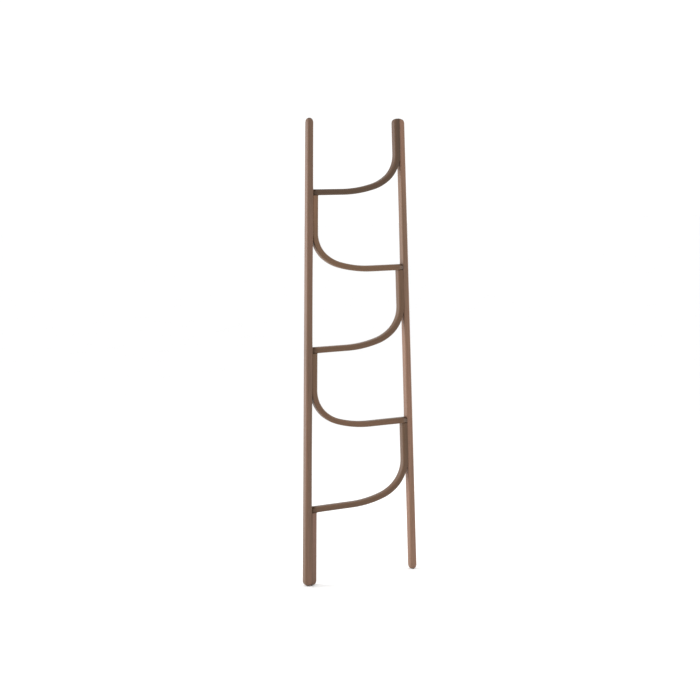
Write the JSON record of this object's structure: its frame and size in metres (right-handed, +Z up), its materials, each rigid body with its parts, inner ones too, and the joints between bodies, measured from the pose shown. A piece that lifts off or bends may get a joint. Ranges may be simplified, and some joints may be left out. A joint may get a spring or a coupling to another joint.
{
  "type": "leaning ladder rack",
  "caption": "Tall leaning ladder rack in dark wood: straight stiles that spread towards the feet, and bent rungs that each start as a leg on alternate stiles.",
  "frame": {"origin": "on the floor, midway between the feet and in the middle of the depth", "axes": "+Z up along the ladder, +Y towards the wall that it leans on, +X to the right seen from the front"},
  "size_m": [0.5586, 0.034, 1.99],
  "materials": {
    "stile_wood": "satin brown stain with fine straight grain",
    "rung_wood": "satin brown stain, grain following the bend",
    "block_wood": "satin brown stain with fine straight grain",
    "dowel_wood": "bare fluted hardwood dowel"
  },
  "bodies": {
    "root": {"left_stile": "stile_wood", "right_stile": "stile_wood", "foot_block": "block_wood", "rung_1": "rung_wood", "rung_2": "rung_wood", "rung_3": "rung_wood", "rung_4": "rung_wood", "rung_5": "rung_wood", "foot_block_dowels": "dowel_wood", "rung_1_leg_dowels": "dowel_wood", "rung_1_end_dowels": "dowel_wood", "rung_2_leg_dowels": "dowel_wood", "rung_2_end_dowels": "dowel_wood", "rung_3_leg_dowels": "dowel_wood", "rung_3_end_dowels": "dowel_wood", "rung_4_leg_dowels": "dowel_wood", "rung_4_end_dowels": "dowel_wood", "rung_5_leg_dowels": "dowel_wood", "rung_5_end_dowels": "dowel_wood"}
  },
  "joints": []
}
